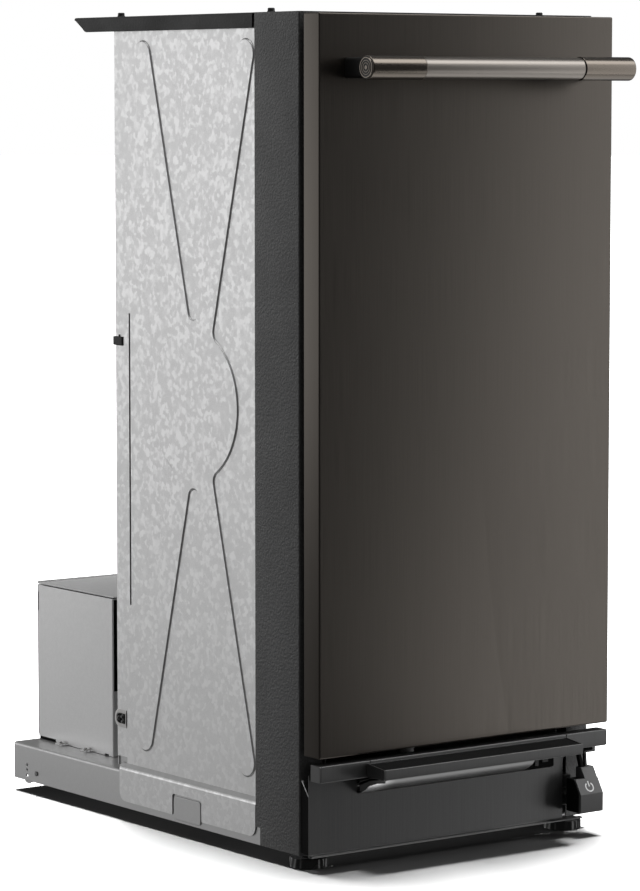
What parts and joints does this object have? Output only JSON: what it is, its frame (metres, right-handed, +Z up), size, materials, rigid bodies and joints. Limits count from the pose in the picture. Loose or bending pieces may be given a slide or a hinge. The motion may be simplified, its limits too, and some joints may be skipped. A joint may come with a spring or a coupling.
{
  "type": "trash compactor",
  "caption": "Slim built-in trash compactor: steel cabinet on a base pan, full-height drawer with bar handle, screw-driven ram, foot pedal and toe start switch.",
  "frame": {"origin": "centre of the bounding box's footprint, on the floor", "axes": "+Z up, +X to the right as seen from the front, the drawer's front faces -Y"},
  "size_m": [0.378, 0.6432, 0.8625],
  "materials": {
    "galvanised_steel": "spangled galvanised sheet, matt",
    "textured_black": "orange-peel textured black powder coat",
    "drawer_steel": "dark bronze stainless, fine vertical brushing",
    "handle_metal": "polished dark bronze",
    "zinc_plated": "bright zinc plate",
    "charcoal_paint": "satin charcoal",
    "pedal_plastic": "ribbed satin plastic",
    "black_plastic": "satin black moulding",
    "grey_plastic": "fine-grained grey moulding",
    "dark_steel": "oiled black steel",
    "rubber": "matt black rubber",
    "motor_paint": "baked black enamel"
  },
  "bodies": {
    "cabinet": {"base_pan": "galvanised_steel", "back_panel": "galvanised_steel", "top_cover": "textured_black", "screw_frame": "dark_steel", "motor_cover": "galvanised_steel", "cord_inlet": "black_plastic", "motor": "motor_paint", "side_clip": "black_plastic", "side_bracket": "zinc_plated", "rear_axle": "dark_steel", "drive_chain": "dark_steel", "toe_panel": "charcoal_paint", "toe_cross_bar": "charcoal_paint", "start_switch_housing": "black_plastic", "side_panel_left": "galvanised_steel", "side_panel_right": "galvanised_steel", "front_trim_left": "textured_black", "front_trim_right": "textured_black", "slide_outer_left": "zinc_plated", "slide_outer_right": "zinc_plated", "screw_bearing_left": "dark_steel", "screw_bearing_right": "dark_steel", "top_bumper_front_left": "rubber", "top_bumper_front_right": "rubber", "top_bumper_rear_left": "rubber", "top_bumper_rear_right": "rubber"},
    "drawer": {"drawer_front": "drawer_steel", "drawer_liner": "grey_plastic", "drawer_tray": "galvanised_steel", "bin": "grey_plastic", "handle_bar": "handle_metal", "handle_end_left": "handle_metal", "handle_end_right": "handle_metal", "bag_retainer_left": "black_plastic", "bag_retainer_right": "black_plastic", "slide_inner_left": "zinc_plated", "slide_inner_right": "zinc_plated"},
    "slide_member_left": {"slide_middle_left": "zinc_plated"},
    "slide_member_right": {"slide_middle_right": "zinc_plated"},
    "ram": {"ram_crosshead": "dark_steel", "ram_cover": "galvanised_steel", "ram_plate": "dark_steel", "power_nut_left": "dark_steel", "power_nut_right": "dark_steel"},
    "screw_left": {"power_screw_left": "zinc_plated", "screw_sprocket_left": "dark_steel"},
    "screw_right": {"power_screw_right": "zinc_plated", "screw_sprocket_right": "dark_steel"},
    "gear_shaft": {"drive_gear": "dark_steel", "drive_sprocket": "dark_steel"},
    "pinion_shaft": {"motor_pinion": "dark_steel"},
    "pedal": {"foot_pedal": "pedal_plastic", "pedal_lever": "zinc_plated"},
    "latch": {"drawer_latch": "zinc_plated"},
    "start_lever": {"start_button": "black_plastic"},
    "switch_plunger": {"start_plunger": "zinc_plated"},
    "foot_left": {"front_foot_left": "rubber"},
    "foot_right": {"front_foot_right": "rubber"},
    "roller_left": {"rear_roller_left": "black_plastic"},
    "roller_right": {"rear_roller_right": "black_plastic"}
  },
  "joints": [
    {"name": "drawer_slide", "type": "slide", "parent": "cabinet", "child": "drawer", "axis": [0, -1, 0], "range_m": [0, 0.34]},
    {"name": "slide_member_left_slide", "type": "slide", "parent": "cabinet", "child": "slide_member_left", "axis": [0, -1, 0], "range_m": [0, 0.17]},
    {"name": "slide_member_right_slide", "type": "slide", "parent": "cabinet", "child": "slide_member_right", "axis": [0, -1, 0], "range_m": [0, 0.17]},
    {"name": "ram_slide", "type": "slide", "parent": "cabinet", "child": "ram", "axis": [0, 0, 1], "range_m": [-0.28, 0]},
    {"name": "screw_left_turn", "type": "hinge", "parent": "cabinet", "child": "screw_left", "pos_m": [-0.166, -0.0454, 0.4], "axis": [0, 0, 1], "range_deg": [0, 7938]},
    {"name": "screw_right_turn", "type": "hinge", "parent": "cabinet", "child": "screw_right", "pos_m": [0.166, -0.0454, 0.4], "axis": [0, 0, 1], "range_deg": [0, 7938]},
    {"name": "drive_gear_turn", "type": "hinge", "parent": "cabinet", "child": "gear_shaft", "pos_m": [0, 0.1796, 0.04], "axis": [0, 0, 1], "range_deg": [0, 7938]},
    {"name": "motor_pinion_turn", "type": "hinge", "parent": "cabinet", "child": "pinion_shaft", "pos_m": [0, 0.22795, 0.04], "axis": [0, 0, 1], "range_deg": [-23812, 0]},
    {"name": "foot_pedal_press", "type": "hinge", "parent": "cabinet", "child": "pedal", "pos_m": [0, -0.1984, 0.072], "axis": [1, 0, 0], "range_deg": [0, 8], "stiffness_Nm_per_rad": 8, "springref_deg": -8.59},
    {"name": "drawer_latch_swing", "type": "hinge", "parent": "cabinet", "child": "latch", "pos_m": [0, -0.1564, 0.084], "axis": [1, 0, 0], "range_deg": [-9, 0]},
    {"name": "start_button_press", "type": "hinge", "parent": "cabinet", "child": "start_lever", "pos_m": [0.1637, -0.2514, 0.0905], "axis": [1, 0, 0], "range_deg": [0, 3.5], "stiffness_Nm_per_rad": 0.8, "springref_deg": -11.46},
    {"name": "start_plunger_slide", "type": "slide", "parent": "cabinet", "child": "switch_plunger", "axis": [0, 1, 0], "range_m": [0, 0.003]},
    {"name": "front_foot_left_turn", "type": "hinge", "parent": "cabinet", "child": "foot_left", "pos_m": [-0.167, -0.2134, 0.006], "axis": [0, 0, 1], "range_deg": [-720, 720]},
    {"name": "front_foot_right_turn", "type": "hinge", "parent": "cabinet", "child": "foot_right", "pos_m": [0.167, -0.2134, 0.006], "axis": [0, 0, 1], "range_deg": [-720, 720]},
    {"name": "rear_roller_left_spin", "type": "hinge", "parent": "cabinet", "child": "roller_left", "pos_m": [-0.084, 0.2886, 0.016], "axis": [1, 0, 0], "continuous": true},
    {"name": "rear_roller_right_spin", "type": "hinge", "parent": "cabinet", "child": "roller_right", "pos_m": [0.084, 0.2886, 0.016], "axis": [1, 0, 0], "continuous": true}
  ],
  "couplings": [
    {"joint": "slide_member_left_slide", "follows": "drawer_slide", "ratio": 0.5},
    {"joint": "slide_member_right_slide", "follows": "drawer_slide", "ratio": 0.5},
    {"joint": "screw_left_turn", "follows": "ram_slide", "rad_per_m": -494.74},
    {"joint": "screw_right_turn", "follows": "ram_slide", "rad_per_m": -494.74},
    {"joint": "drive_gear_turn", "follows": "ram_slide", "rad_per_m": -494.74},
    {"joint": "motor_pinion_turn", "follows": "ram_slide", "rad_per_m": 1484.2},
    {"joint": "drawer_latch_swing", "follows": "foot_pedal_press", "ratio": -1.1},
    {"joint": "start_plunger_slide", "follows": "start_button_press", "m_per_rad": 0.046}
  ]
}
